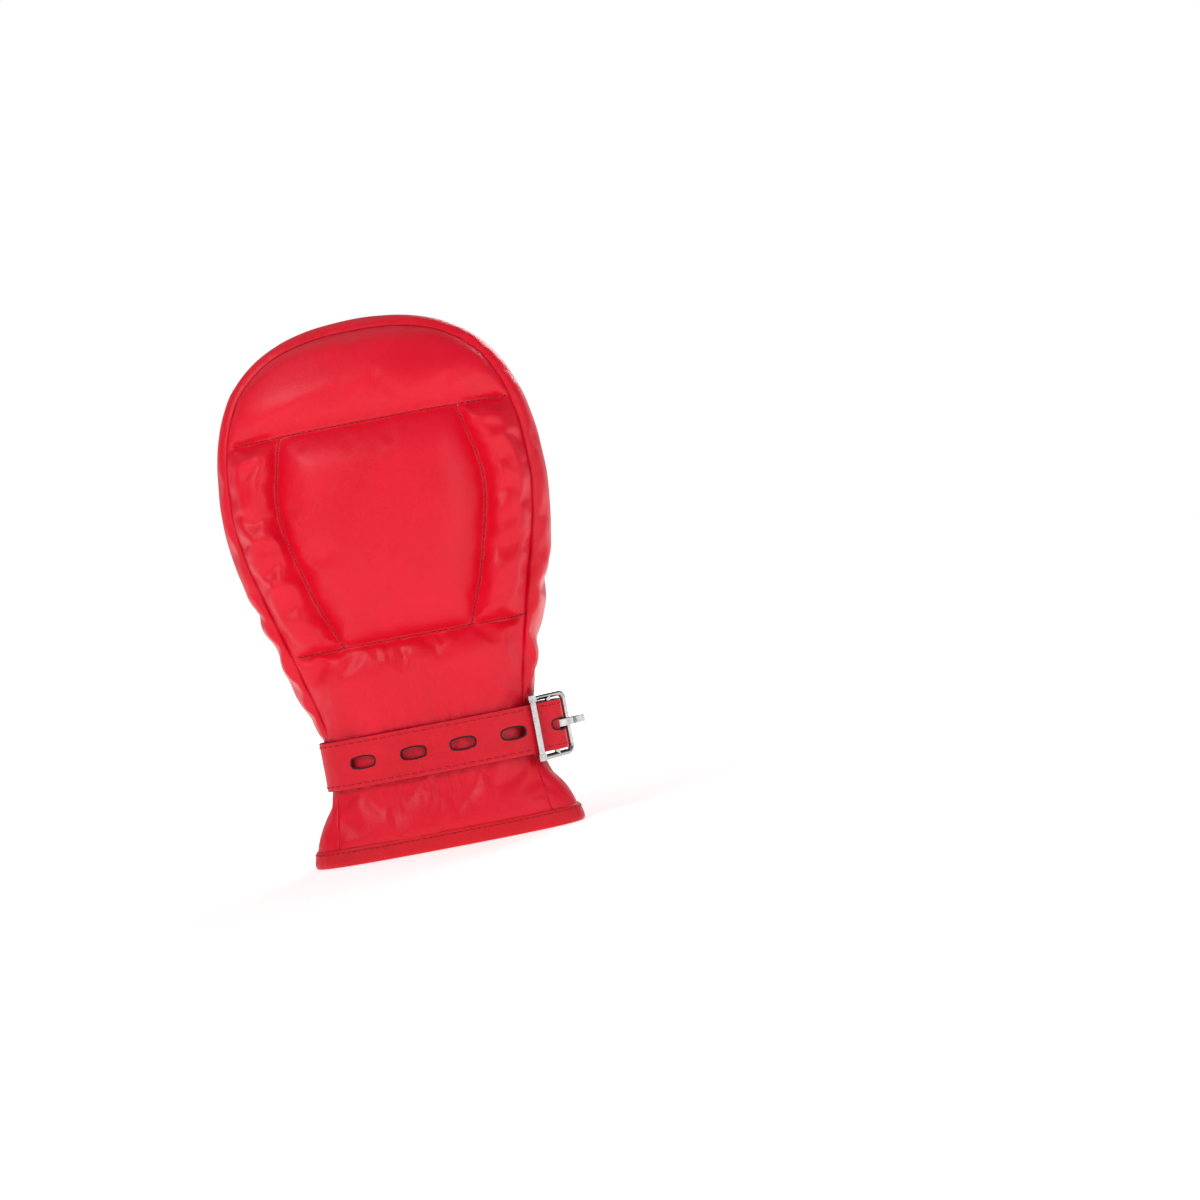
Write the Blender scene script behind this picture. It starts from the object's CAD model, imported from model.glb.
"""Padded fist mitt with a locking wrist strap: quilted skin, pads, lining, strap, stitches and hardware.

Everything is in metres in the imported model's frame: +Z from the cuff to the fingertips, -Y is the front face
with the strap's open slots, +X is the buckle's side, and the cuff's rim stands on z = 0.
"""

import math

import bmesh
import bpy
import numpy as np
from mathutils import Matrix, Vector, noise
from mathutils.bvhtree import BVHTree


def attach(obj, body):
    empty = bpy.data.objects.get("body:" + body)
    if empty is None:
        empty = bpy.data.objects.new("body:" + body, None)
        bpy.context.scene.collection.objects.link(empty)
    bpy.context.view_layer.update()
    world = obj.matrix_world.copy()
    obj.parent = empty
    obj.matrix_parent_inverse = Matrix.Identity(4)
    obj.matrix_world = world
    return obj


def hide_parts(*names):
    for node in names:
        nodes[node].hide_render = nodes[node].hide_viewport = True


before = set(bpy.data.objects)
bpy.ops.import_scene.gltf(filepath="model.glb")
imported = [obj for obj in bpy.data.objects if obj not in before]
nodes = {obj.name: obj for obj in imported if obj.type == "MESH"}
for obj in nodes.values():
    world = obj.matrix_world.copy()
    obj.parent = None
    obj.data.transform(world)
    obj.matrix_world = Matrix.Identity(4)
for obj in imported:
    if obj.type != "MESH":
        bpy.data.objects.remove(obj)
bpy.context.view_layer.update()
MM = 0.001

# ---------------------------------------------------------------- driving sizes, in millimetres
BINDING_HEIGHT = 9.0
STRAP_LOW, STRAP_HIGH = 38.6, 64.0
LOWER_STITCH, UPPER_STITCH = 110.0, 222.0
ROUNDNESS = 2.6
SKIN = 1.2

# height, half width and half depth of the whole mitt
GIRTH = [
    (-2, 70.6, 27.5), (12, 67.2, 26.8), (25, 60.8, 25.3), (38, 55.0, 24.1), (51, 54.2, 23.8),
    (64, 55.0, 24.1), (77, 59.4, 26.3), (90, 64.2, 30.0), (105, 69.4, 34.6), (122, 74.4, 38.0),
    (140, 78.8, 40.6), (160, 82.8, 42.0), (182, 84.8, 42.5), (202, 84.0, 41.6), (222, 80.8, 39.0),
    (240, 74.0, 34.0), (256, 63.0, 27.0), (268, 46.0, 18.5), (276, 21.0, 8.0),
]
# height and half width of the panels' seams up the sides
SEAM = [
    (0, 56.5), (20, 54.3), (38, 51.8), (64, 51.0), (94, 57.0), (130, 66.0), (160, 74.0), (182, 77.0),
    (202, 76.6), (222, 74.0), (236, 69.2), (246, 64.0),
]
# x and height of the seam over the fingertips, from its left corner to the middle
DOME = [(-64.0, 246.0), (-58.4, 252.3), (-52.0, 257.7), (-43.0, 263.0), (-25.0, 268.6), (0.0, 270.6)]
# height and half width of the middle pad's stitching
MIDDLE_PAD = [
    (0, 31.0), (64, 28.5), (110, 33.0), (129, 40.5), (155, 48.0), (181, 53.0), (198, 51.5),
    (222, 45.5), (246, 39.5),
]
HEM = 2.0                   # height of the skin's lower edge

# how wide the leather rolls down to its stitch lines in each place
WRIST_ROLL, FINGER_ROLL, PALM_ROLL, CHANNEL_ROLL, SEAM_ROLL = 19, 24, 23, 11, 9
VALLEY = 9.5                # how far the stitch lines lie under the pads' crowns
SEAM_SINK = 3.5             # how far the seams lie under them
CHANNEL_CROWN = 2.0         # how far the side channels stand over the other pads
STRAP_FADE = 26             # height over which the puffed shape comes back above the strap
TIP_BOW = 6.5               # how far the girth lies outside the seam over the fingertips
BAND_FULLNESS = 0.85        # share of the way from the seam to the girth that the band bows out


def curve_through(points):
    """Natural cubic through (x, y...) rows, as a function of x."""
    table = np.array(points, float)
    x, y = table[:, 0], table[:, 1:]
    n = len(x)
    gap = np.diff(x)
    system = np.eye(n)
    right = np.zeros((n, y.shape[1]))
    for i in range(1, n - 1):
        system[i, i - 1:i + 2] = gap[i - 1], 2 * (gap[i - 1] + gap[i]), gap[i]
        right[i] = 6 * ((y[i + 1] - y[i]) / gap[i] - (y[i] - y[i - 1]) / gap[i - 1])
    bend = np.linalg.solve(system, right)

    def value(at):
        at = np.clip(np.asarray(at, float), x[0], x[-1])
        i = np.clip(np.searchsorted(x, at, side="right") - 1, 0, n - 2)
        h, low, high = gap[i], (x[i + 1] - at)[..., None], (at - x[i])[..., None]
        h = h[..., None]
        result = (bend[i] * low ** 3 + bend[i + 1] * high ** 3) / (6 * h)
        result += (y[i] / h - bend[i] * h / 6) * low + (y[i + 1] / h - bend[i + 1] * h / 6) * high
        return result

    return value


girth = curve_through(GIRTH)
seam_width = curve_through(SEAM)
middle_width = curve_through(MIDDLE_PAD)


def smooth(value, low, high):
    t = min(1.0, max(0.0, (value - low) / (high - low)))
    return t * t * (3 - 2 * t)


def rounded(angle):
    """Point of the mitt's rounded cross-section at an angle, for half sizes of 1."""
    c, s = math.cos(angle), math.sin(angle)
    power = 2 / ROUNDNESS
    return math.copysign(abs(c) ** power, c), math.copysign(abs(s) ** power, s)


def surface_depth(x, z):
    """Half depth of the mitt at a point of its front view."""
    wide, deep = girth(z)
    share = min(0.995, abs(x) / wide)
    return float(deep * (1 - share ** ROUNDNESS) ** (1 / ROUNDNESS))


# ---------------------------------------------------------------- grids of the sewn shell
COLUMNS_MIDDLE, COLUMNS_SIDE = 38, 11
ROWS_WRIST, ROWS_PALM, ROWS_FINGER = 42, 44, 19
ROWS_BAND = 16
COLUMNS = COLUMNS_MIDDLE + 2 * COLUMNS_SIDE
ROWS = ROWS_WRIST + ROWS_PALM + ROWS_FINGER
LOWER_ROW, UPPER_ROW = ROWS_WRIST, ROWS_WRIST + ROWS_PALM
LEFT_COLUMN, RIGHT_COLUMN = COLUMNS_SIDE, COLUMNS_SIDE + COLUMNS_MIDDLE
FRONT, BACK, BAND = 0, 1, 2
CUFF_ROWS = 19              # rows from the hem to the strap's middle

# a face's cell code is its panel's number times PANEL_STEP plus its cell, or BAND_CODE
CUFF, WRIST, LEFT_CHANNEL, PALM, RIGHT_CHANNEL, FINGER = 6, 1, 2, 3, 4, 5
PANEL_STEP, BAND_CODE = 10, 20
# name, thickness of the pad, how far the skin may puff out, and its share of spare leather
CELLS = {
    CUFF: ("cuff", 2.0, 2.0, 0.25),
    WRIST: ("wrist", 3.0, 3.5, 0.35),
    LEFT_CHANNEL: ("left_channel", 8.0, 4.5, 0.6),
    PALM: ("palm", 11.0, 3.0, 0.05),
    RIGHT_CHANNEL: ("right_channel", 8.0, 4.5, 0.6),
    FINGER: ("finger", 7.0, 3.5, 0.08),
}
BAND_PAD, BAND_PUFF = 3.0, 3.0


def row_height(row):
    if row <= LOWER_ROW:
        return HEM + (LOWER_STITCH - HEM) * row / ROWS_WRIST
    return LOWER_STITCH + (UPPER_STITCH - LOWER_STITCH) * min(row - LOWER_ROW, ROWS_PALM) / ROWS_PALM


def column_x(column, height):
    """Where a column stands at a height: the columns follow the middle pad's stitching."""
    seam, pad = float(seam_width(height)[0]), float(middle_width(height)[0])
    off = abs(column - COLUMNS / 2)
    side = 1 if column > COLUMNS / 2 else -1
    half_middle = COLUMNS_MIDDLE / 2
    if off <= half_middle:
        return side * pad * off / half_middle
    return side * (pad + (seam - pad) * (off - half_middle) / COLUMNS_SIDE)


def dome_curve():
    """The seam's top stretch as a function of the share of its length, from left to right."""
    mirrored = DOME + [(-x, z) for x, z in reversed(DOME[:-1])]
    steps = [math.dist(a, b) for a, b in zip(mirrored, mirrored[1:])]
    along = np.concatenate(([0], np.cumsum(steps))) / sum(steps)
    return curve_through([(share, *point) for share, point in zip(along, mirrored)])


dome = dome_curve()


def panel_point(column, row):
    """Front-view position of a panel's corner point."""
    if row <= UPPER_ROW:
        height = row_height(row)
        return column_x(column, height), height
    rise = (row - UPPER_ROW) / ROWS_FINGER
    base = column_x(column, UPPER_STITCH)
    top_x, top_z = dome(column / COLUMNS)
    side_x = float(seam_width(UPPER_STITCH + (DOME[0][1] - UPPER_STITCH) * rise)[0])
    share = abs(base) / float(seam_width(UPPER_STITCH)[0])
    straight = abs(base) + (abs(top_x) - abs(base)) * rise
    bulge = side_x - (abs(float(seam_width(UPPER_STITCH)[0])) * (1 - rise) - DOME[0][0] * rise)
    x = math.copysign(straight + bulge * share ** 3, column - COLUMNS / 2)
    return x, UPPER_STITCH + (top_z - UPPER_STITCH) * rise


def seam_distance(column, row):
    """Distance of a panel's corner point from the nearest seam."""
    x, z = panel_point(column, row)
    side = float(seam_width(min(z, DOME[0][1]))[0]) - abs(x)
    if row <= UPPER_ROW:
        return max(0.0, side)
    top = (ROWS - row) / ROWS_FINGER * (float(dome(column / COLUMNS)[1]) - UPPER_STITCH)
    return max(0.0, min(top, max(side, min(column, COLUMNS - column) * 2.2)))


def roll(distance, width):
    """1 on a stitch line and 0 past a pad's rolled edge, rounded like filling behind leather."""
    off = 1 - min(max(distance - 0.6, 0.0), width) / width
    return 0.55 * (1 - math.sqrt(1 - off * off)) + 0.45 * off ** 2.2


def quilting(row, x, z):
    """How far a panel point lies under the pads' crowns because of the stitch lines."""
    if row <= LOWER_ROW:
        return VALLEY * roll(LOWER_STITCH - z, WRIST_ROLL)
    if row >= UPPER_ROW:
        return VALLEY * roll(z - UPPER_STITCH, FINGER_ROLL)
    off = float(middle_width(z)[0]) - abs(x)
    broad, crown = (PALM_ROLL, 0) if off > 0 else (CHANNEL_ROLL, CHANNEL_CROWN)
    lines = [roll(abs(off), broad), roll(z - LOWER_STITCH, broad), roll(UPPER_STITCH - z, broad)]
    return (VALLEY + crown) * sum(line ** 4 for line in lines) ** 0.25 - crown


def edge_points():
    """The panel's seam in front view: up the left side, over the top and down the right side."""
    left = [panel_point(0, row) for row in range(ROWS + 1)]
    top = [panel_point(column, ROWS) for column in range(1, COLUMNS)]
    return left + top + [panel_point(COLUMNS, row) for row in range(ROWS, -1, -1)]


edge = edge_points()


def band_point(index, across):
    """Point of the side band; across runs from 0 at the front seam to 1 at the back seam."""
    x, z = edge[index]
    before, after = edge[max(0, index - 1)], edge[min(len(edge) - 1, index + 1)]
    along = Vector((after[0] - before[0], after[1] - before[1])).normalized()
    out = Vector((-along.y, along.x))
    free = smooth(z, STRAP_HIGH, STRAP_HIGH + STRAP_FADE)
    y = -(surface_depth(x, z) - SEAM_SINK * free) * math.cos(math.pi * across)
    wide, deep = girth(z)
    tight = float(wide * max(0.0, 1 - (abs(y) / deep) ** ROUNDNESS) ** (1 / ROUNDNESS)) - abs(x)
    full = TIP_BOW if z > DOME[0][1] else float(wide) - abs(x)
    puffed = full * BAND_FULLNESS * math.sin(math.pi * across) ** 0.6
    bow = puffed * free + (0 if free == 1 else tight * (1 - free))
    if across in (0, 1):
        bow = 0
    return Vector((x + out.x * bow, y, z + out.y * bow))


def fold(x, y, z, seed, zone):
    """Small start for the folds: across the channels and the band, upright round the strap."""
    if zone in ("middle", "finger"):
        corner = math.exp(-((x - 52) / 16) ** 2 - ((z - 226) / 14) ** 2)
        return corner * 1.2 * noise.noise(Vector((x * 0.13, seed, z * 0.06)))
    if zone == "channel":
        return 2.3 * noise.noise(Vector((x * 0.035, seed + y * 0.1, z * 0.085)))
    if zone == "band":
        pucker = 0.5 + 1.2 * smooth(z, 60, 72) * (1 - smooth(z, 128, 165))
        return pucker * noise.noise(Vector((y * 0.03, seed, z * 0.075)))
    broad = 0.5 * noise.noise(Vector((x * 0.09, y + seed, z * 0.03)))
    near = smooth(z, 16, 36) * (1 - smooth(z, 72, 98))
    fine = 1.4 * noise.noise(Vector((x * 0.27, y + seed, z * 0.018))) * math.exp(-((x - 3) / 20) ** 2)
    return broad + fine * near


def pinch(row, x, y, z):
    """Small scallops that the stitches pull into the leather beside them."""
    lines = [abs(z - LOWER_STITCH), abs(z - UPPER_STITCH)]
    if LOWER_ROW < row < UPPER_ROW:
        lines.append(abs(float(middle_width(z)[0]) - abs(x)))
    near = min(lines)
    return 0.9 * noise.noise(Vector((x * 0.17, y * 3.0, z * 0.17))) * math.exp(-near / 5) * smooth(near, 0, 3)


STITCH_CREASE = 0.3         # how sharply the stitch lines stay when the skin is rounded


def build_shell():
    """The two panels and the side band in one mesh, with layers that say what each corner is."""
    bm = bmesh.new()
    part = bm.verts.layers.int.new("part")
    first = bm.verts.layers.int.new("column")
    second = bm.verts.layers.int.new("row")
    cell = bm.faces.layers.int.new("cell")
    for which, face in ((FRONT, -1), (BACK, 1)):
        made = bmesh.ops.create_grid(bm, x_segments=COLUMNS, y_segments=ROWS, size=0.5)["verts"]
        for v in made:
            column, row = round((v.co.x + 0.5) * COLUMNS), round((v.co.y + 0.5) * ROWS)
            v[part], v[first], v[second] = which, column, row
            x, z = panel_point(column, row)
            off = seam_distance(column, row)
            free = smooth(z, STRAP_HIGH, STRAP_HIGH + STRAP_FADE)
            depth = surface_depth(x, z) - SEAM_SINK * free * roll(off, SEAM_ROLL)
            depth -= quilting(row, x, z) * smooth(off, 0, 8) * smooth(z, STRAP_HIGH, STRAP_HIGH + 20)
            if 0 < row < ROWS and 0 < column < COLUMNS:
                zone = "wrist" if row < LOWER_ROW else "finger" if row > UPPER_ROW else "middle"
                if zone == "middle" and not LEFT_COLUMN <= column <= RIGHT_COLUMN:
                    zone = "channel"
                depth += fold(x, face, z, 7.3 * which, zone) * smooth(off, 0, 5)
                if z > STRAP_HIGH:
                    depth += pinch(row, x, face, z) * smooth(off, 0, 5)
            v.co = Vector((x, face * depth, z)) * MM
        faces = {f for v in made for f in v.link_faces}
        for f in faces:
            column = sum(v[first] for v in f.verts) / 4
            row = sum(v[second] for v in f.verts) / 4
            if row < CUFF_ROWS:
                code = CUFF
            elif row < LOWER_ROW:
                code = WRIST
            elif row > UPPER_ROW:
                code = FINGER
            elif column < LEFT_COLUMN:
                code = LEFT_CHANNEL
            else:
                code = RIGHT_CHANNEL if column > RIGHT_COLUMN else PALM
            f[cell] = which * PANEL_STEP + code
        if which == BACK:
            bmesh.ops.reverse_faces(bm, faces=list(faces))
    count = len(edge) - 1
    made = bmesh.ops.create_grid(bm, x_segments=count, y_segments=ROWS_BAND, size=0.5)["verts"]
    for v in made:
        index, across = round((v.co.x + 0.5) * count), round((v.co.y + 0.5) * ROWS_BAND)
        v[part], v[first], v[second] = BAND, index, across
        place = band_point(index, across / ROWS_BAND)
        if 0 < across < ROWS_BAND:
            side = math.copysign(1, place.x)
            place.x += side * fold(place.x, place.y, place.z, side * 4, "band")
        v.co = place * MM
    faces = {f for v in made for f in v.link_faces}
    for f in faces:
        f[cell] = BAND_CODE
    bmesh.ops.remove_doubles(bm, verts=list(bm.verts), dist=0.02 * MM)
    bmesh.ops.recalc_face_normals(bm, faces=list(bm.faces))
    crease = bm.edges.layers.float.new("crease_edge")
    for e in bm.edges:
        a, b = e.verts
        if BAND in (a[part], b[part]):
            continue
        across = a[second] == b[second] and a[second] in (LOWER_ROW, UPPER_ROW)
        upright = a[first] == b[first] and a[first] in (LEFT_COLUMN, RIGHT_COLUMN)
        if across or upright and all(LOWER_ROW <= v[second] <= UPPER_ROW for v in e.verts):
            e[crease] = STITCH_CREASE
    return bm


def new_object(name, bm, materials=()):
    mesh = bpy.data.meshes.new(name)
    bm.to_mesh(mesh)
    bm.free()
    piece = bpy.data.objects.new(name, mesh)
    bpy.context.scene.collection.objects.link(piece)
    for material in materials:
        mesh.materials.append(material)
    mesh.shade_smooth()
    return piece


def bake(piece):
    """Replaces a piece's mesh by what its modifiers make of it."""
    graph = bpy.context.evaluated_depsgraph_get()
    mesh = bpy.data.meshes.new_from_object(piece.evaluated_get(graph), preserve_all_data_layers=True,
                                           depsgraph=graph)
    piece.modifiers.clear()
    piece.data = mesh
    return piece


def round_off(piece):
    """One level of subdivision, applied."""
    fine = piece.modifiers.new("subdivision", "SUBSURF")
    fine.levels = fine.render_levels = 1
    return bake(piece)


def thicken(piece, thickness, offset=-1):
    """A wall of a thickness on a sheet, inwards unless it is told otherwise."""
    wall = piece.modifiers.new("thickness", "SOLIDIFY")
    wall.thickness, wall.offset = thickness, offset
    return wall


def coordinates(mesh):
    co = np.empty(len(mesh.vertices) * 3)
    mesh.vertices.foreach_get("co", co)
    return co.reshape(-1, 3)


# ---------------------------------------------------------------- inflating the shell
CLOTH_STEPS = 26
INWARD_LIMIT, SLIDE_LIMIT = 1.6, 2.0    # how far a point may sink, and move along the skin


def held(part, column, row):
    """Whether a corner of the shell is sewn down or held by the strap or the binding."""
    if part == BAND:
        height = edge[column][1]
        if row in (0, ROWS_BAND):
            return True
    else:
        height = panel_point(column, row)[1]
        if column in (0, COLUMNS) or row == ROWS:
            return True
        if row in (LOWER_ROW, UPPER_ROW):
            return True
        if LOWER_ROW < row < UPPER_ROW and column in (LEFT_COLUMN, RIGHT_COLUMN):
            return True
    return height < BINDING_HEIGHT - 1 or STRAP_LOW + 1.5 < height < STRAP_HIGH - 1.5


def allowance(part, cell_code):
    """How far a point may puff out, in millimetres."""
    return BAND_PUFF if part == BAND else CELLS[cell_code % PANEL_STEP][2]


def slack_share(part, codes, height):
    """How much spare leather a place has, from 0 to 1."""
    if part == BAND or BAND_CODE in codes:
        return 0.1 + 0.3 * smooth(height, 60, 75) * (1 - smooth(height, 130, 165))
    return CELLS[codes[0] % PANEL_STEP][3]


def inflate(bm):
    """Puffs the leather out between its stitch lines, as cloth under pressure."""
    part, first, second = (bm.verts.layers.int[n] for n in ("part", "column", "row"))
    cell = bm.faces.layers.int["cell"]
    bm.verts.ensure_lookup_table()
    marks = [(v[part], v[first], v[second]) for v in bm.verts]
    codes = [[f[cell] for f in v.link_faces] for v in bm.verts]
    reach = np.array([allowance(v[part], min(near)) for v, near in zip(bm.verts, codes)]) * MM
    looseness = [slack_share(v[part], near, v.co.z / MM) for v, near in zip(bm.verts, codes)]
    piece = new_object("shell", bm.copy())
    before = coordinates(piece.data)
    pins = [i for i, mark in enumerate(marks) if held(*mark)]
    group = piece.vertex_groups.new(name="sewn")
    group.add(pins, 1.0, "REPLACE")
    tightness = piece.vertex_groups.new(name="tightness")
    for i, share in enumerate(looseness):
        tightness.add([i], 1 - share, "REPLACE")
    cloth = piece.modifiers.new("cloth", "CLOTH")
    settings = cloth.settings
    settings.quality = 7
    settings.mass = 0.25
    settings.tension_stiffness = 18
    settings.compression_stiffness = 18
    settings.shear_stiffness = 8
    settings.bending_stiffness = 4.0
    settings.tension_damping = settings.compression_damping = settings.shear_damping = 12
    settings.use_pressure = True
    settings.uniform_pressure_force = 5.0
    settings.shrink_min, settings.shrink_max = -0.10, 0.0
    settings.vertex_group_shrink = "tightness"
    settings.vertex_group_mass = "sewn"
    settings.effector_weights.gravity = 0
    cloth.collision_settings.use_collision = False
    scene = bpy.context.scene
    cloth.point_cache.frame_start, cloth.point_cache.frame_end = 1, CLOTH_STEPS
    for step in range(1, CLOTH_STEPS + 1):
        scene.frame_set(step)
    graph = bpy.context.evaluated_depsgraph_get()
    after = coordinates(piece.evaluated_get(graph).data)
    bpy.data.objects.remove(piece)
    scene.frame_set(1)
    move = after - before
    bm.normal_update()
    normals = np.array([v.normal[:] for v in bm.verts])
    out = (move * normals).sum(axis=1)
    along = move - out[:, None] * normals
    length = np.linalg.norm(along, axis=1)
    inward, slide = INWARD_LIMIT * MM, SLIDE_LIMIT * MM
    out = np.where(out > 0, reach * np.tanh(out / reach), inward * np.tanh(out / inward))
    along *= (slide * np.tanh(length / slide) / np.maximum(length, 1e-9))[:, None]
    after = before + out[:, None] * normals + along
    for v, co in zip(bm.verts, after):
        v.co = co


shell = build_shell()
inflate(shell)


# ---------------------------------------------------------------- shader groups shared by the materials
def node_group(name, inputs, outputs):
    group = bpy.data.node_groups.new(name, "ShaderNodeTree")
    for label, kind, value in inputs:
        socket = group.interface.new_socket(name=label, in_out="INPUT", socket_type=kind)
        if value is not None:
            socket.default_value = value
    for label, kind in outputs:
        group.interface.new_socket(name=label, in_out="OUTPUT", socket_type=kind)
    start = group.nodes.new("NodeGroupInput")
    end = group.nodes.new("NodeGroupOutput")
    return group, start, end


def add_node(tree, kind, inputs=(), **settings):
    node = tree.nodes.new(kind)
    for key, value in settings.items():
        setattr(node, key, value)
    for key, value in dict(inputs).items():
        if isinstance(value, bpy.types.NodeSocket):
            tree.links.new(value, node.inputs[key])
        else:
            node.inputs[key].default_value = value
    return node


def add_mix(tree, share, first, second):
    """Colour between two others; the mix node's colour sockets only have numbers."""
    return add_node(tree, "ShaderNodeMix", {0: share, 6: first, 7: second}, data_type="RGBA").outputs[2]


def leather_grain():
    """Pressed pebble grain with soft creases and a slow change of shade."""
    group, start, end = node_group(
        "leather_grain",
        [("Vector", "NodeSocketVector", None), ("Pebble Size", "NodeSocketFloat", 0.0009),
         ("Light", "NodeSocketColor", (0.8, 0.02, 0.04, 1)),
         ("Dark", "NodeSocketColor", (0.5, 0.01, 0.02, 1)),
         ("Gloss Low", "NodeSocketFloat", 0.32), ("Gloss High", "NodeSocketFloat", 0.48)],
        [("Color", "NodeSocketColor"), ("Roughness", "NodeSocketFloat"), ("Height", "NodeSocketFloat")],
    )
    scale = add_node(group, "ShaderNodeMath", {0: 1.0, 1: start.outputs["Pebble Size"]}, operation="DIVIDE")
    pebbles = add_node(group, "ShaderNodeTexVoronoi",
                       {"Vector": start.outputs["Vector"], "Scale": scale.outputs[0]},
                       feature="DISTANCE_TO_EDGE")
    rise = add_node(group, "ShaderNodeMapRange", {"Value": pebbles.outputs["Distance"], "From Max": 0.22})
    pores = add_node(group, "ShaderNodeTexNoise",
                     {"Vector": start.outputs["Vector"], "Scale": 2600.0, "Detail": 2.0})
    clouds = add_node(group, "ShaderNodeTexNoise",
                      {"Vector": start.outputs["Vector"], "Scale": 26.0, "Detail": 4.0, "Roughness": 0.6})
    height = add_node(group, "ShaderNodeMath", {0: rise.outputs[0], 1: pores.outputs["Fac"]}, operation="ADD")
    shade = add_node(group, "ShaderNodeMapRange",
                     {"Value": clouds.outputs["Fac"], "From Min": 0.3, "From Max": 0.7})
    grooves = add_node(group, "ShaderNodeMapRange",
                       {"Value": rise.outputs[0], "To Min": 0.75, "To Max": 1.0})
    clouded = add_mix(group, shade.outputs[0], start.outputs["Dark"], start.outputs["Light"])
    deep = add_mix(group, grooves.outputs[0], start.outputs["Dark"], clouded)
    gloss = add_node(group, "ShaderNodeMapRange", {
        "Value": clouds.outputs["Fac"], "From Min": 0.3, "From Max": 0.7,
        "To Min": start.outputs["Gloss Low"], "To Max": start.outputs["Gloss High"]})
    group.links.new(deep, end.inputs["Color"])
    group.links.new(gloss.outputs[0], end.inputs["Roughness"])
    group.links.new(height.outputs[0], end.inputs["Height"])
    return group


grain_group = leather_grain()


def new_material(name):
    material = bpy.data.materials.new(name)
    material.use_nodes = True
    tree = material.node_tree
    shader = tree.nodes["Principled BSDF"]
    place = tree.nodes.new("ShaderNodeTexCoord")
    return material, tree, shader, place


def leather(name, light, dark, pebble, gloss, bump, coat=0.0):
    """Grained leather: pebble and bump are the grain's size and depth in metres."""
    material, tree, shader, place = new_material(name)
    grain = tree.nodes.new("ShaderNodeGroup")
    grain.node_tree = grain_group
    tree.links.new(place.outputs["Object"], grain.inputs["Vector"])
    grain.inputs["Pebble Size"].default_value = pebble
    grain.inputs["Light"].default_value = (*light, 1)
    grain.inputs["Dark"].default_value = (*dark, 1)
    grain.inputs["Gloss Low"].default_value, grain.inputs["Gloss High"].default_value = gloss
    relief = add_node(tree, "ShaderNodeBump",
                      {"Height": grain.outputs["Height"], "Strength": 1.0, "Distance": bump})
    tree.links.new(grain.outputs["Color"], shader.inputs["Base Color"])
    tree.links.new(grain.outputs["Roughness"], shader.inputs["Roughness"])
    tree.links.new(relief.outputs["Normal"], shader.inputs["Normal"])
    shader.inputs["Coat Weight"].default_value = coat
    shader.inputs["Coat Roughness"].default_value = 0.3
    shader.inputs["Specular IOR Level"].default_value = 0.28
    return material


BANDS_PER_UNIT = 3.18       # bands in a unit of a wave texture with a scale of 1


def woven(name, light, dark, pitch, roughness):
    """Plain weave from two crossed waves."""
    material, tree, shader, place = new_material(name)
    waves = []
    for axis in ("X", "Z"):
        wave = add_node(tree, "ShaderNodeTexWave", {
            "Vector": place.outputs["Object"], "Scale": 1 / pitch / BANDS_PER_UNIT,
            "Distortion": 1.5, "Detail": 1.0, "Detail Scale": 2.0}, bands_direction=axis)
        waves.append(wave.outputs["Fac"])
    weave = add_node(tree, "ShaderNodeMath", {0: waves[0], 1: waves[1]}, operation="MULTIPLY")
    color = add_mix(tree, weave.outputs[0], (*dark, 1), (*light, 1))
    relief = add_node(tree, "ShaderNodeBump", {"Height": weave.outputs[0], "Distance": 0.0002})
    tree.links.new(color, shader.inputs["Base Color"])
    tree.links.new(relief.outputs["Normal"], shader.inputs["Normal"])
    shader.inputs["Roughness"].default_value = roughness
    return material


def metal(name, color, polish, speckle):
    """Plated metal: its roughness runs from polish up by speckle, in a fine haze."""
    material, tree, shader, place = new_material(name)
    haze = add_node(tree, "ShaderNodeTexNoise",
                    {"Vector": place.outputs["Object"], "Scale": 420.0, "Detail": 5.0})
    gloss = add_node(tree, "ShaderNodeMapRange", {
        "Value": haze.outputs["Fac"], "From Min": 0.35, "From Max": 0.7,
        "To Min": polish, "To Max": polish + speckle})
    fine = add_node(tree, "ShaderNodeTexNoise",
                    {"Vector": place.outputs["Object"], "Scale": 190.0, "Detail": 2.0})
    relief = add_node(tree, "ShaderNodeBump", {"Height": fine.outputs["Fac"], "Distance": 0.00006})
    tint = add_mix(tree, haze.outputs["Fac"], (*color, 1), (*[c * 0.85 for c in color], 1))
    tree.links.new(tint, shader.inputs["Base Color"])
    tree.links.new(gloss.outputs[0], shader.inputs["Roughness"])
    tree.links.new(relief.outputs["Normal"], shader.inputs["Normal"])
    shader.inputs["Metallic"].default_value = 1.0
    return material


skin_red = leather("red faux leather", light=(0.84, 0.004, 0.028), dark=(0.74, 0.003, 0.020),
                   pebble=0.0010, gloss=(0.33, 0.43), bump=0.00004, coat=0.06)
tape_red = leather("red binding tape", light=(0.78, 0.004, 0.020), dark=(0.64, 0.003, 0.014),
                   pebble=0.0009, gloss=(0.36, 0.5), bump=0.00006, coat=0.04)
strap_red = leather("red strap leather", light=(0.82, 0.005, 0.026), dark=(0.68, 0.004, 0.018),
                    pebble=0.0008, gloss=(0.36, 0.5), bump=0.00005, coat=0.04)
edge_paint = leather("dark edge paint", light=(0.045, 0.006, 0.008), dark=(0.02, 0.003, 0.004),
                     pebble=0.0012, gloss=(0.4, 0.6), bump=0.00006)
strap_back = leather("strap backing", light=(0.10, 0.012, 0.016), dark=(0.05, 0.006, 0.01),
                     pebble=0.0008, gloss=(0.6, 0.8), bump=0.00008)
needle_hole = leather("needle hole", light=(0.10, 0.002, 0.005), dark=(0.05, 0.001, 0.003),
                      pebble=0.0012, gloss=(0.5, 0.7), bump=0.00002)
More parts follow.
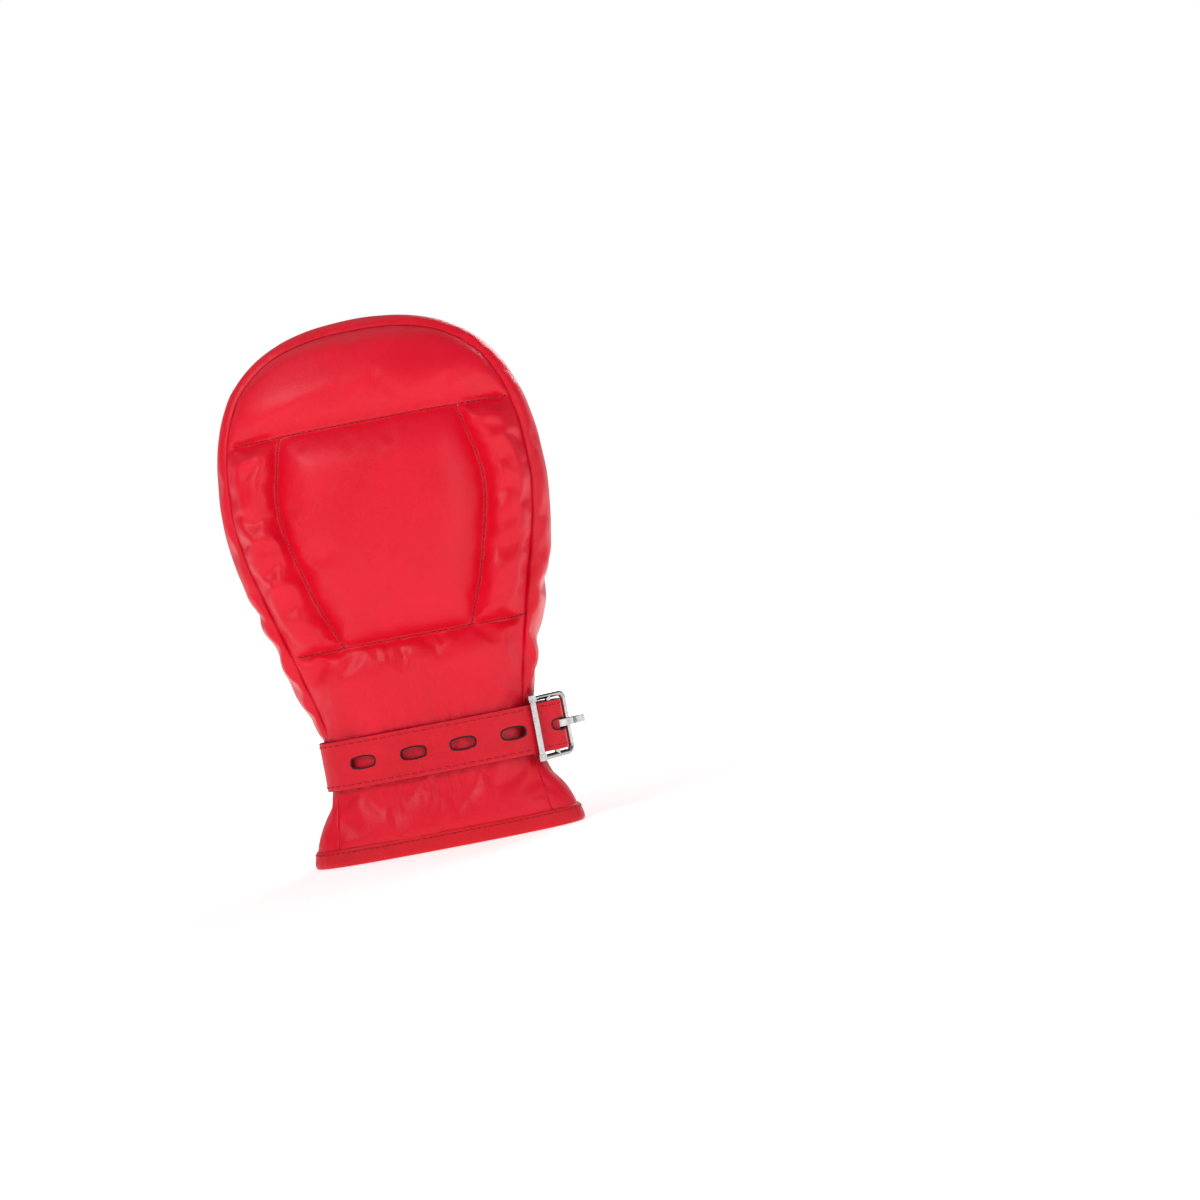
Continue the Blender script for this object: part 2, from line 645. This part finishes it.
thread_red = woven("red thread", light=(0.86, 0.016, 0.045), dark=(0.55, 0.006, 0.02),
                   pitch=0.0004, roughness=0.6)
lining_cloth = woven("lining cloth", light=(0.16, 0.012, 0.02), dark=(0.06, 0.005, 0.008),
                     pitch=0.0007, roughness=0.9)
wadding = woven("wadding", light=(0.85, 0.83, 0.78), dark=(0.6, 0.58, 0.53),
                pitch=0.0014, roughness=0.95)
nickel = metal("nickel plate", color=(0.56, 0.55, 0.535), polish=0.07, speckle=0.12)


# ---------------------------------------------------------------- panels, side band and what fills them
PAD_BORDER = 2              # rings of cells left out round a pad
PAD_TAPER = 4               # rings of cells over which it then thickens
PAD_EDGE = 0.12             # share of its thickness left at its border
PAD_GAP, PAD_DIP = 1.3, 0.9     # how far it lies inside the skin, and how much further its border


def cut_out(keep):
    """Copy of the shell with only the faces whose cell code is kept."""
    bm = shell.copy()
    bm.normal_update()
    cell = bm.faces.layers.int["cell"]
    bmesh.ops.delete(bm, geom=[f for f in bm.faces if f[cell] not in keep], context="FACES")
    return bm


def skin(name, keep):
    """Rounded leather of some cells, with its thickness inwards."""
    piece = round_off(new_object(name, cut_out(keep), [skin_red]))
    thicken(piece, SKIN * MM)
    bake(piece).data.shade_smooth()
    return piece


def pad(name, keep, thickness):
    """A block of filling behind one cell of the skin, thinning towards its stitched border."""
    bm = cut_out(keep)
    for _ in range(PAD_BORDER):
        border = [f for f in bm.faces if any(v.is_boundary for v in f.verts)]
        bmesh.ops.delete(bm, geom=border, context="FACES")
    rank = {v: 0 for v in bm.verts if v.is_boundary}
    ring = list(rank)
    for step in range(1, PAD_TAPER + 1):
        ring = [n for v in ring for e in v.link_edges for n in [e.other_vert(v)] if n not in rank]
        rank.update({v: step for v in ring})
    bm.verts.index_update()
    fullness = {v.index: rank.get(v, PAD_TAPER) / PAD_TAPER for v in bm.verts}
    for v in bm.verts:
        v.co -= v.normal * (SKIN + PAD_GAP + PAD_DIP * (1 - fullness[v.index])) * MM
    piece = new_object(name, bm, [wadding])
    group = piece.vertex_groups.new(name="fullness")
    for index, share in fullness.items():
        group.add([index], share, "REPLACE")
    wall = thicken(piece, thickness * MM)
    wall.vertex_group, wall.thickness_vertex_group = "fullness", PAD_EDGE
    return bake(piece)


front_panel = skin("front_panel_skin", {FRONT * PANEL_STEP + code for code in CELLS})
back_panel = skin("back_panel_skin", {BACK * PANEL_STEP + code for code in CELLS})
side_band = skin("side_band_skin", {BAND_CODE})
for piece, node in ((front_panel, "front_panel"), (back_panel, "back_panel"), (side_band, "side_gusset")):
    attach(piece, "mitt")
    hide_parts(node)

for which, face in ((FRONT, "front"), (BACK, "back")):
    for code, (label, thickness, _, _) in CELLS.items():
        filling = pad(f"{face}_{label}_filling", {which * PANEL_STEP + code}, thickness)
        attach(filling, "mitt")
        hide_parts(f"{face}_{label}_pad")
band_filling = pad("side_band_filling", {BAND_CODE}, BAND_PAD)
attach(band_filling, "mitt")
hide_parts("gusset_wadding")

# ---------------------------------------------------------------- stitches
# pitch, dash length and thread radius, in millimetres
QUILTING_THREAD, HEM_THREAD, STRAP_THREAD = (3.0, 2.1, 0.58), (3.1, 2.1, 0.4), (4.2, 2.5, 0.42)
SEARCH_FROM, SEARCH_DEPTH = 0.012, 0.03     # how far out of its line a stitch looks for the leather


def surface_of(piece):
    """Search tree over a piece's finished surface."""
    points = [v.co.copy() for v in piece.data.vertices]
    return BVHTree.FromPolygons(points, [list(p.vertices) for p in piece.data.polygons])


def distances(points):
    """How far along their line each of some points is."""
    return np.array([0.0] + [(b - a).length for a, b in zip(points, points[1:])]).cumsum()


def even_steps(points, pitch):
    """Points and directions along a line at an even pitch."""
    lengths = distances(points)
    count = max(1, int(lengths[-1] / pitch))
    for i in range(count):
        at = (i + 0.5) * lengths[-1] / count
        k = min(len(points) - 2, int(np.searchsorted(lengths, at, side="right")) - 1)
        along = points[k + 1] - points[k]
        yield points[k] + along * ((at - lengths[k]) / max(along.length, 1e-9)), along.normalized()


def add_stitch(bm, place, along, up, length, radius):
    """One thread dash, with a dark needle hole just past its end."""
    side = up.cross(along).normalized()
    turn = Matrix((along, side, along.cross(side))).transposed().to_4x4()
    size = Matrix.Diagonal((length / 2, radius, radius * 0.8, 1))
    dash = Matrix.Translation(place) @ turn @ size @ Matrix.Rotation(math.pi / 2, 4, "Y")
    bmesh.ops.create_uvsphere(bm, u_segments=8, v_segments=5, radius=1.0, matrix=dash)
    end = place + along * (length / 2 + radius * 0.7) - up * radius * 0.35
    hole = Matrix.Diagonal((radius * 0.7, radius * 0.75, radius * 0.35, 1))
    made = bmesh.ops.create_uvsphere(bm, u_segments=6, v_segments=4, radius=1.0,
                                     matrix=Matrix.Translation(end) @ turn @ hole)["verts"]
    for face in {f for v in made for f in v.link_faces}:
        face.material_index = 1


def sew(name, lines, surface, thread, outward=None):
    """A row of thread stitches lying on a surface along each line."""
    pitch, length, radius = (size * MM for size in thread)
    bm = bmesh.new()
    for line in lines:
        for point, along in even_steps(line, pitch):
            guess = outward(point) if outward else Vector((0, math.copysign(1, point.y), 0))
            hit, normal, _, _ = surface.ray_cast(point + guess * SEARCH_FROM, -guess, SEARCH_DEPTH)
            if hit is None:
                continue
            along = (along - normal * along.dot(normal)).normalized()
            add_stitch(bm, hit + normal * radius * 0.5, along, normal, length, radius)
    piece = new_object(name, bm, [thread_red, needle_hole])
    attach(piece, "mitt")
    return piece


def shell_line(part_code, fixed, value, low, high):
    """Points of one row or column of a panel, between two of its corners."""
    part, first, second = (shell.verts.layers.int[n] for n in ("part", "column", "row"))
    found = []
    for v in shell.verts:
        column, row = v[first], v[second]
        across, up = (column, row) if fixed == "row" else (row, column)
        if v[part] == part_code and up == value and low <= across <= high:
            found.append((across, v.co.copy()))
    return [co for _, co in sorted(found, key=lambda item: item[0])]


for code, face, panel in ((FRONT, "front", front_panel), (BACK, "back", back_panel)):
    lines = [shell_line(code, "row", row, 0, COLUMNS) for row in (LOWER_ROW, UPPER_ROW)]
    lines += [shell_line(code, "column", c, LOWER_ROW, UPPER_ROW) for c in (LEFT_COLUMN, RIGHT_COLUMN)]
    stitches = sew(f"{face}_quilting_stitches", lines, surface_of(panel), QUILTING_THREAD)

# ---------------------------------------------------------------- cuff binding
RIM_STEPS = 220
# distance out of the skin and height, from the tape's outer edge round the rim to its inner edge
BINDING_PROFILE = [
    (0.15, 9.0), (0.95, 9.2), (1.25, 8.4), (1.2, 7.0), (1.3, 5.0), (1.3, 2.6), (1.0, 1.0), (0.2, 0.1),
    (-1.6, 0.0), (-3.4, 0.1), (-5.2, 0.9), (-5.9, 2.4), (-6.0, 5.0), (-5.9, 8.6), (-5.2, 9.0),
]
HEM_LINE = 1.2, 7.3         # where the tape's stitching runs, out of the skin and up


def rim_point(share, out, height):
    """Point of the cuff's rim; out is the distance outside the skin."""
    wide, deep = girth(height)
    across, through = rounded(share * 2 * math.pi)
    return Vector(((wide + out) * across, (deep + out * (1 if out > 0 else 0.75)) * through, height))


def build_binding():
    """Folded tape swept round the rim, slightly uneven, as its stitching leaves it."""
    bm = bmesh.new()
    rows = len(BINDING_PROFILE)
    made = bmesh.ops.create_grid(bm, x_segments=RIM_STEPS, y_segments=rows - 1, size=0.5)["verts"]
    for v in made:
        share, k = v.co.x + 0.5, round((v.co.y + 0.5) * (rows - 1))
        out, height = BINDING_PROFILE[k]
        angle = (share - 0.5) * 2 * math.pi
        wobble = noise.noise(Vector((math.cos(angle) * 9, math.sin(angle) * 9, height * 0.15)))
        fine = noise.noise(Vector((math.cos(angle) * 34, math.sin(angle) * 34, 5 + height * 0.1)))
        lift = (0.35 * wobble + 0.22 * fine) * (1 if height > 0.5 else 0)
        v.co = rim_point(even_rim(share), out + (lift if out > 0 else 0), height) * MM
    bmesh.ops.remove_doubles(bm, verts=list(bm.verts), dist=0.03 * MM)
    bmesh.ops.recalc_face_normals(bm, faces=list(bm.faces))
    return bm


def rim_spacing():
    """Share of the turn against share of the rim's length, for even steps round the rim."""
    turns = np.linspace(0, 1, 2001)
    lengths = distances([rim_point(t, 0, 4.0) for t in turns])
    return lengths / lengths[-1], turns


rim_lengths, rim_turns = rim_spacing()


def even_rim(share):
    return float(np.interp(share, rim_lengths, rim_turns))


binding = new_object("cuff_binding_tape", build_binding(), [tape_red])
round_off(binding).data.shade_smooth()
hem_line = [rim_point(even_rim(i / 400), *HEM_LINE) * MM for i in range(401)]
hem_stitches = sew("hem_stitches", [hem_line], surface_of(binding), HEM_THREAD,
                   outward=lambda p: Vector((p.x * 0.25, p.y * 1.6, 0)).normalized())
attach(binding, "mitt")
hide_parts("cuff_binding")

# ---------------------------------------------------------------- lining pouch
# height and distance between the lining and the mitt's outside at the sides
POUCH_GAP = [(-2, 2.9), (38, 4.6), (64, 5.0), (105, 7.5), (140, 9.5), (182, 10.5), (222, 9.5), (268, 6.0)]
POUCH_FOOT, POUCH_TOP = 1.6, 264.0
POUCH_CLOSES = 225          # height where the sack starts to close over the fingertips
pouch_gap = curve_through(POUCH_GAP)


def build_pouch():
    """Fabric sack for the hand, a little crumpled, closed at the fingertips."""
    bm = bmesh.new()
    around, up = 96, 64
    made = bmesh.ops.create_grid(bm, x_segments=around, y_segments=up, size=0.5)["verts"]
    for v in made:
        share, level = v.co.x + 0.5, v.co.y + 0.5
        height = POUCH_FOOT + (POUCH_TOP - POUCH_FOOT) * math.sin(level * math.pi / 2) ** 0.9
        closing = max(0.0, (height - POUCH_CLOSES) / (POUCH_TOP - POUCH_CLOSES))
        close = math.sqrt(max(0.0, 1 - closing ** 2.4))
        wide, deep = girth(min(height, 255))
        side = float(pouch_gap(height)[0])
        face = side * (1.0 if height < 40 else 1 + smooth(height, 64, 130) * 0.9)
        angle = share * 2 * math.pi
        spot = Vector((math.cos(angle) * 5, math.sin(angle) * 5, height * 0.05))
        crumple = 0.8 * noise.noise(spot) * smooth(height, 6, 30)
        across, through = rounded(angle)
        x = (wide - side - 1.2 + crumple) * close * across
        y = (deep - face - 1.2 + crumple) * close * through
        v.co = Vector((x, y, height)) * MM
    bmesh.ops.remove_doubles(bm, verts=list(bm.verts), dist=0.03 * MM)
    bmesh.ops.recalc_face_normals(bm, faces=list(bm.faces))
    return bm


pouch = new_object("hand_pouch", build_pouch(), [lining_cloth])
thicken(pouch, 0.8 * MM)
bake(pouch).data.shade_smooth()
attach(pouch, "mitt")
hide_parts("hand_lining")

# ---------------------------------------------------------------- wrist strap
STRAP_LEVEL, STRAP_WIDTH, STRAP_THICK = 51.3, 25.4, 2.2
STRAP_RUN = 56.5, 25.6      # half width and half depth of its inner layer's round
LAYER_STEP = 2.5
SLOT_LENGTH, SLOT_WIDTH = 12.5, 5.6
SLOT_AT = (-34.7, -8.3, 17.3, 43.3)
SLOT_STEP = 26.0            # from the slot on the prong to the next one
SLOT_MARGIN, PAINT_WIDTH = 1.6, 0.8
TIP_LENGTH = 13.0
FIRST_STITCH, STITCH_INSET = 128.0, 2.2     # from the folded end, and from the strap's edges
FRAME_ANGLE, HEEL = 54.5, (63.5, -8.0)
ROLLER_REACH, FAR_REACH = 13.2, 12.9
BAR_RADIUS, ROLLER_RADIUS = 1.5, 1.8
RING_BAR_X, RIVET_AT = -2.0, (13.3, -12.8)


def arc(centre, radius, *degrees):
    return [(centre[0] + radius * math.cos(math.radians(d)), centre[1] + radius * math.sin(math.radians(d)))
            for d in degrees]


def on_run(x, face, out=0.0):
    wide, deep = STRAP_RUN[0] + out, STRAP_RUN[1] + out
    return x, face * deep * (1 - abs(x / wide) ** ROUNDNESS) ** (1 / ROUNDNESS)


def strap_route():
    """The strap's middle line in plan, from its folded end round the wrist to its tip."""
    roller, far_bar = (arc(HEEL, reach, FRAME_ANGLE)[0] for reach in (-ROLLER_REACH, FAR_REACH))
    half = STRAP_THICK / 2
    round_bar = BAR_RADIUS + 0.15 + half
    out = LAYER_STEP
    route = [on_run(x, 1) for x in (-20, -10, 0, 10, 20, 30, 40, 47, 52, 55)] + [(56.6, 3.5)]
    route += arc(HEEL, round_bar, 201, 226, 251, 276, 301, 326, 351, 376, 385)
    route += [(61.9, 1.5), (59.1, 8.5)] + [on_run(x, 1, out) for x in (56.5, 53, 47, 40, 30, 20)]
    route += [on_run(x, 1, out) for x in (RIVET_AT[0] + 4, RIVET_AT[0], RIVET_AT[0] - 4)]
    route += [on_run(4.5, 1, out + 1.6), on_run(RING_BAR_X, 1, out + 3.0), on_run(-6.2, 1, out + 1.6)]
    route += [on_run(x, 1, out) for x in (RIVET_AT[1] + 3.4, RIVET_AT[1], RIVET_AT[1] - 4)]
    route += [on_run(-24, 1, 1.7)] + [on_run(x, 1) for x in (-33, -40, -47, -52, -55)] + [(-STRAP_RUN[0], 0)]
    route += [on_run(x, -1) for x in (-55, -52, -47, -40, -30, -20, -10, 0, 10, 20, 30, 37)] + [(44.5, -20.2)]
    route += arc(roller, ROLLER_RADIUS + 0.3 + half, 112, 104) + arc(HEEL, round_bar + out, -76, -50, -23, 3)
    route += arc(far_bar, BAR_RADIUS + 0.35 + half, 186, 174) + [(66.2, 8.6), (62.6, 13.6), (57.8, 17.7)]
    return route + [(52.0, 21.0), (45.5, 24.0), (39.0, 27.0)]


def by_length(points):
    """Smooth line through plan points as a function of the distance along it, and its length."""
    chord = np.array([0.0] + [math.dist(a, b) for a, b in zip(points, points[1:])]).cumsum()
    line = curve_through([(at, *p) for at, p in zip(chord, points)])
    fine = np.linspace(0, chord[-1], 6000)
    places = line(fine)
    lengths = np.concatenate(([0], np.cumsum(np.linalg.norm(np.diff(places, axis=0), axis=1))))
    return lambda at: line(np.interp(at, lengths, fine)), float(lengths[-1])


strap_line, strap_length = by_length(strap_route())


def on_strap(at, out, rise):
    """Point at a distance along the strap, out of its outer face and above its middle."""
    x, y = strap_line(at)
    ahead, behind = strap_line(min(at + 0.4, strap_length)), strap_line(max(at - 0.4, 0))
    forward = Vector(ahead - behind).normalized()
    if at > strap_length:
        x, y = x + forward.x * (at - strap_length), y + forward.y * (at - strap_length)
    return Vector((x + forward.y * out, y - forward.x * out, STRAP_LEVEL + rise)) * MM


def distance_at(x, y, start):
    fine = np.linspace(start, strap_length, 4000)
    return float(fine[np.argmin(np.linalg.norm(strap_line(fine) - np.array((x, y)), axis=1))])


def slot_centres():
    half_way = strap_length / 2
    centres = [distance_at(*on_run(x, -1), half_way) for x in SLOT_AT[:3]]
    centres.append(distance_at(SLOT_AT[3], -20.6, half_way))
    engaged = distance_at(*arc(HEEL, BAR_RADIUS + 0.15 + STRAP_THICK / 2 + LAYER_STEP, -23)[0], half_way)
    return centres + [engaged, engaged + SLOT_STEP]


def flat_strap():
    """The strap laid flat, x along it and y across it, with painted slots and a rounded tip."""
    bm = bmesh.new()
    length_cells, width_cells = round(strap_length / 1.5), 14
    bmesh.ops.create_grid(bm, x_segments=length_cells, y_segments=width_cells, size=0.5)
    for v in bm.verts:
        v.co = Vector(((v.co.x + 0.5) * strap_length, v.co.y * STRAP_WIDTH, 0))
    for centre in slot_centres():
        block = [f for f in bm.faces
                 if abs(f.calc_center_median().x - centre) < SLOT_LENGTH / 2 + SLOT_MARGIN
                 and abs(f.calc_center_median().y) < SLOT_WIDTH / 2 + SLOT_MARGIN]
        bmesh.ops.delete(bm, geom=block, context="FACES")
        for radius in (SLOT_WIDTH / 2 + PAINT_WIDTH, SLOT_WIDTH / 2):
            rim = [e for e in bm.edges if e.is_boundary
                   and all(abs(v.co.x - centre) < 12 and abs(v.co.y) < 8 for v in e.verts)]
            made = bmesh.ops.extrude_edge_only(bm, edges=rim)["geom"]
            if radius == SLOT_WIDTH / 2:
                for f in [g for g in made if isinstance(g, bmesh.types.BMFace)]:
                    f.material_index = 1
            for v in [g for g in made if isinstance(g, bmesh.types.BMVert)]:
                share = max(-1.0, min(1.0, (v.co.x - centre) / (SLOT_LENGTH / 2)))
                axis = Vector((centre + share * (SLOT_LENGTH - SLOT_WIDTH) / 2, 0, 0))
                v.co = axis + (v.co - axis).normalized() * radius
    for v in bm.verts:
        past = v.co.x - (strap_length - TIP_LENGTH)
        if past > 0:
            limit = STRAP_WIDTH / 2 * math.sqrt(max(0.0, 1 - (past / (TIP_LENGTH + 0.2)) ** 2.6))
            off = abs(v.co.y)
            v.co.y = math.copysign(min(off, off * limit / (STRAP_WIDTH / 2) + 0.001), v.co.y)
    bmesh.ops.remove_doubles(bm, verts=list(bm.verts), dist=0.02)
    bmesh.ops.recalc_face_normals(bm, faces=list(bm.faces))
    if sum(f.normal.z for f in bm.faces) < 0:
        bmesh.ops.reverse_faces(bm, faces=list(bm.faces))
    return bm


def bend_to_strap(piece):
    """Takes a piece from the flat strap's millimetres to its place round the wrist."""
    for v in piece.data.vertices:
        v.co = on_strap(v.co.x, v.co.z, v.co.y)
    piece.data.update()
    return piece


strap = new_object("strap_leather", flat_strap(), [strap_red, edge_paint, strap_back])
thicken(strap, STRAP_THICK, offset=0).material_offset_rim = 1
soften = strap.modifiers.new("rounding", "BEVEL")
soften.width, soften.segments, soften.limit_method, soften.angle_limit = 0.75, 3, "ANGLE", math.radians(60)
soften.material = 1
bake(strap)
for face in strap.data.polygons:
    if face.material_index == 0 and face.normal.z < -0.7:
        face.material_index = 2
bend_to_strap(strap).data.shade_smooth()
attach(strap, "mitt")
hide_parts("wrist_strap")


def strap_stitching():
    """Two rows of thread near the strap's edges, following its rounded tip."""
    bm = bmesh.new()
    pitch, dash, radius = STRAP_THREAD
    half = STRAP_WIDTH / 2 - STITCH_INSET
    end = strap_length - TIP_LENGTH
    for side in (-1, 1):
        line = [Vector((FIRST_STITCH + (end - FIRST_STITCH) * i / 300, side * half, 0)) for i in range(301)]
        line += [Vector((end + math.sin(a) * (TIP_LENGTH - STITCH_INSET), side * half * math.cos(a), 0))
                 for a in np.linspace(0.05, math.pi / 2, 24)]
        for point, along in even_steps(line, pitch):
            place = Vector((point.x, point.y, STRAP_THICK / 2 + 0.12))
            add_stitch(bm, place, along, Vector((0, 0, 1)), dash, radius)
    return bm


strap_stitches = new_object("strap_stitches", strap_stitching(), [thread_red, needle_hole])
bend_to_strap(strap_stitches)
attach(strap_stitches, "mitt")

# ---------------------------------------------------------------- hardware: domed rivets and plating
CAP_RADIUS, CAP_HEIGHT, CAP_FLANGE = 3.75, 1.6, 0.35


def rivet_dome():
    """Domed caps seated on the strap's outer layer on the back."""
    bm = bmesh.new()
    for x in RIVET_AT:
        at = distance_at(*on_run(x, 1, LAYER_STEP), 0)
        seat = on_strap(at, STRAP_THICK / 2 + CAP_FLANGE, 0)
        up = (on_strap(at, STRAP_THICK, 0) - seat).normalized()
        place = Matrix.Translation(seat) @ up.to_track_quat("Z", "Y").to_matrix().to_4x4()
        made = bmesh.ops.create_uvsphere(bm, u_segments=48, v_segments=24, radius=1.0)["verts"]
        for v in made:
            rim = CAP_FLANGE if v.co.z < -0.01 else 0
            v.co.z = v.co.z * CAP_HEIGHT if v.co.z > 0 else v.co.z * 0.25 - rim
            v.co.xy = v.co.xy * CAP_RADIUS
            v.co = place @ (v.co * MM)
    return bm


rivets = new_object("rivet_domes", rivet_dome(), [nickel])
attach(rivets, "mitt")
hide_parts("rivet_caps")

for name in ("buckle_frame", "buckle_centre_bar", "roller_axle", "buckle_roller", "locking_prong", "d_ring",
             "rivet_posts"):
    nodes[name].data.materials.clear()
    nodes[name].data.materials.append(nickel)

# ---------------------------------------------------------------- camera, light and backdrop
LEAN = math.radians(10.8)   # how far the mitt leans in the view
VIEW_WIDTH = 0.624          # what the view takes in at the mitt
DISTANCE = 1.4
AIM_X, AIM_Z = 0.0997, 0.110
SENSOR = 36
camera_data = bpy.data.cameras.new("camera")
camera_data.sensor_width = SENSOR
camera_data.lens = SENSOR * DISTANCE / VIEW_WIDTH
camera = bpy.data.objects.new("camera", camera_data)
bpy.context.scene.collection.objects.link(camera)
turned = Matrix.Rotation(LEAN, 4, "Y") @ Matrix.Rotation(math.pi / 2, 4, "X")
camera.matrix_world = Matrix.Translation((AIM_X, -DISTANCE, AIM_Z)) @ turned
bpy.context.scene.camera = camera


def area_light(name, place, aim, size, power):
    data = bpy.data.lights.new(name, "AREA")
    data.shape, data.size, data.energy = "DISK", size, power
    light = bpy.data.objects.new(name, data)
    light.location = place
    light.rotation_euler = (Vector(aim) - Vector(place)).to_track_quat("-Z", "Y").to_euler()
    bpy.context.scene.collection.objects.link(light)


area_light("key", (-0.8, -1.2, 1.15), (0, 0, 0.13), 0.7, 10.5)
area_light("fill", (1.2, -1.3, 0.5), (0, 0, 0.13), 0.9, 4.0)
area_light("rim", (0.6, 1.4, 0.95), (0, 0, 0.15), 0.8, 9)

world = bpy.data.worlds.new("studio")
world.use_nodes = True
tree = world.node_tree
seen = tree.nodes.new("ShaderNodeLightPath")
direction = tree.nodes.new("ShaderNodeTexCoord")
# the room is lit in soft patches, which the metal reflects, and plain white behind the mitt
patches = add_node(tree, "ShaderNodeTexNoise",
                   {"Vector": direction.outputs["Generated"], "Scale": 3.4, "Detail": 1.0})
room = add_node(tree, "ShaderNodeMapRange", {
    "Value": patches.outputs["Fac"], "From Min": 0.45, "From Max": 0.56, "To Min": 0.0, "To Max": 0.58})
strength = add_node(tree, "ShaderNodeMapRange", {
    "Value": seen.outputs["Is Camera Ray"], "To Max": 1.0, "To Min": room.outputs[0]})
tree.links.new(strength.outputs[0], tree.nodes["Background"].inputs["Strength"])
tree.nodes["Background"].inputs["Color"].default_value = (1, 1, 1, 1)
bpy.context.scene.world = world
bpy.context.scene.view_settings.view_transform = "Standard"

floor_material, floor_tree, floor_shader, floor_place = new_material("pale floor")
floor_shader.inputs["Base Color"].default_value = (0.93, 0.93, 0.93, 1)
floor_shader.inputs["Emission Strength"].default_value = 1.0
# the floor glows more the further it is from the mitt, and fades into the white behind it
from_mitt = add_node(floor_tree, "ShaderNodeVectorMath", {0: floor_place.outputs["Object"]},
                     operation="LENGTH")
glow = add_node(floor_tree, "ShaderNodeMapRange", {
    "Value": from_mitt.outputs["Value"], "From Min": 0.25, "From Max": 1.4, "To Min": 0.5, "To Max": 1.0})
floor_tree.links.new(glow.outputs[0], floor_shader.inputs["Emission Color"])
floor_shader.inputs["Roughness"].default_value = 0.8
bm = bmesh.new()
bmesh.ops.create_circle(bm, cap_ends=True, segments=96, radius=6.0)
floor = new_object("floor", bm, [floor_material])
